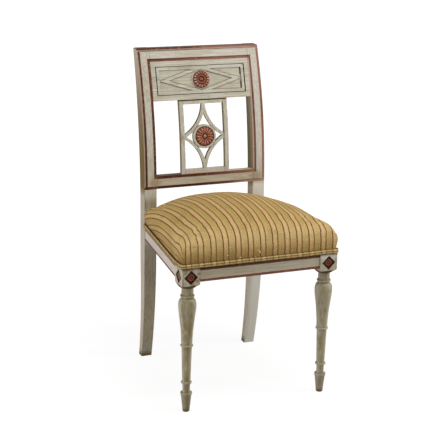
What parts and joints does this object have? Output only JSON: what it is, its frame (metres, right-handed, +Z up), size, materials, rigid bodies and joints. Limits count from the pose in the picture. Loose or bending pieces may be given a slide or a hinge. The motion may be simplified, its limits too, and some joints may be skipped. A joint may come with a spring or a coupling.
{
  "type": "side chair",
  "caption": "Armless chair with turned front legs under square blocks, sabre back legs, a raked panelled back with an openwork splat, and a stuffed seat with a corded edge.",
  "frame": {"origin": "on the floor, under the middle of the chair's overall width and depth", "axes": "+Z up; +X to the right as seen from the front; the chair faces -Y, so +Y runs to its back"},
  "size_m": [0.4686, 0.521, 0.9305],
  "materials": {
    "pale_paint": "worn matt grey-beige paint on turned and carved wood, with red-brown lines in the rabbets",
    "red_brown_paint": "worn red-brown paint on carved wood, pale on its high places",
    "plain_beech": "unpainted sawn wood",
    "screw_steel": "dull slotted screws",
    "tack_steel": "blued tacks",
    "jute_webbing": "coarse jute webbing",
    "hessian": "open woven hessian",
    "stuffing": "stuffed seat pad",
    "striped_fabric": "woven cloth with olive-gold and tan stripes and thin brown lines",
    "welt_fabric": "double cord covered in the same striped cloth"
  },
  "bodies": {
    "root": {"back_seat_rail": "pale_paint", "back_upright_left": "pale_paint", "back_upright_right": "pale_paint", "back_welt": "welt_fabric", "corner_block_back_left": "plain_beech", "corner_block_back_right": "plain_beech", "corner_block_front_left": "plain_beech", "corner_block_front_right": "plain_beech", "corner_block_screws": "screw_steel", "diamond_front_left": "red_brown_paint", "diamond_front_right": "red_brown_paint", "diamond_side_left": "red_brown_paint", "diamond_side_right": "red_brown_paint", "double_welt": "welt_fabric", "front_leg_left": "pale_paint", "front_leg_right": "pale_paint", "front_seat_rail": "pale_paint", "hessian_sheet": "hessian", "lower_back_rail": "pale_paint", "lozenge_strip_lower_left": "pale_paint", "lozenge_strip_lower_right": "pale_paint", "lozenge_strip_upper_left": "pale_paint", "lozenge_strip_upper_right": "pale_paint", "medallion": "pale_paint", "medallion_rosette": "red_brown_paint", "rosette_base": "pale_paint", "seat_cover": "striped_fabric", "seat_pad": "stuffing", "side_seat_rail_left": "pale_paint", "side_seat_rail_right": "pale_paint", "splat_bar_bottom": "pale_paint", "splat_bar_left": "pale_paint", "splat_bar_right": "pale_paint", "splat_bar_top": "pale_paint", "splat_curve_lower_left": "pale_paint", "splat_curve_lower_right": "pale_paint", "splat_curve_upper_left": "pale_paint", "splat_curve_upper_right": "pale_paint", "tablet_fillet_bottom": "pale_paint", "tablet_fillet_left": "pale_paint", "tablet_fillet_right": "pale_paint", "tablet_fillet_top": "pale_paint", "tablet_panel": "pale_paint", "tablet_rosette": "red_brown_paint", "top_rail": "pale_paint", "webbing_crosswise_1": "jute_webbing", "webbing_crosswise_2": "jute_webbing", "webbing_crosswise_3": "jute_webbing", "webbing_crosswise_4": "jute_webbing", "webbing_crosswise_5": "jute_webbing", "webbing_lengthwise_1": "jute_webbing", "webbing_lengthwise_2": "jute_webbing", "webbing_lengthwise_3": "jute_webbing", "webbing_lengthwise_4": "jute_webbing", "webbing_tacks": "tack_steel"}
  },
  "joints": []
}
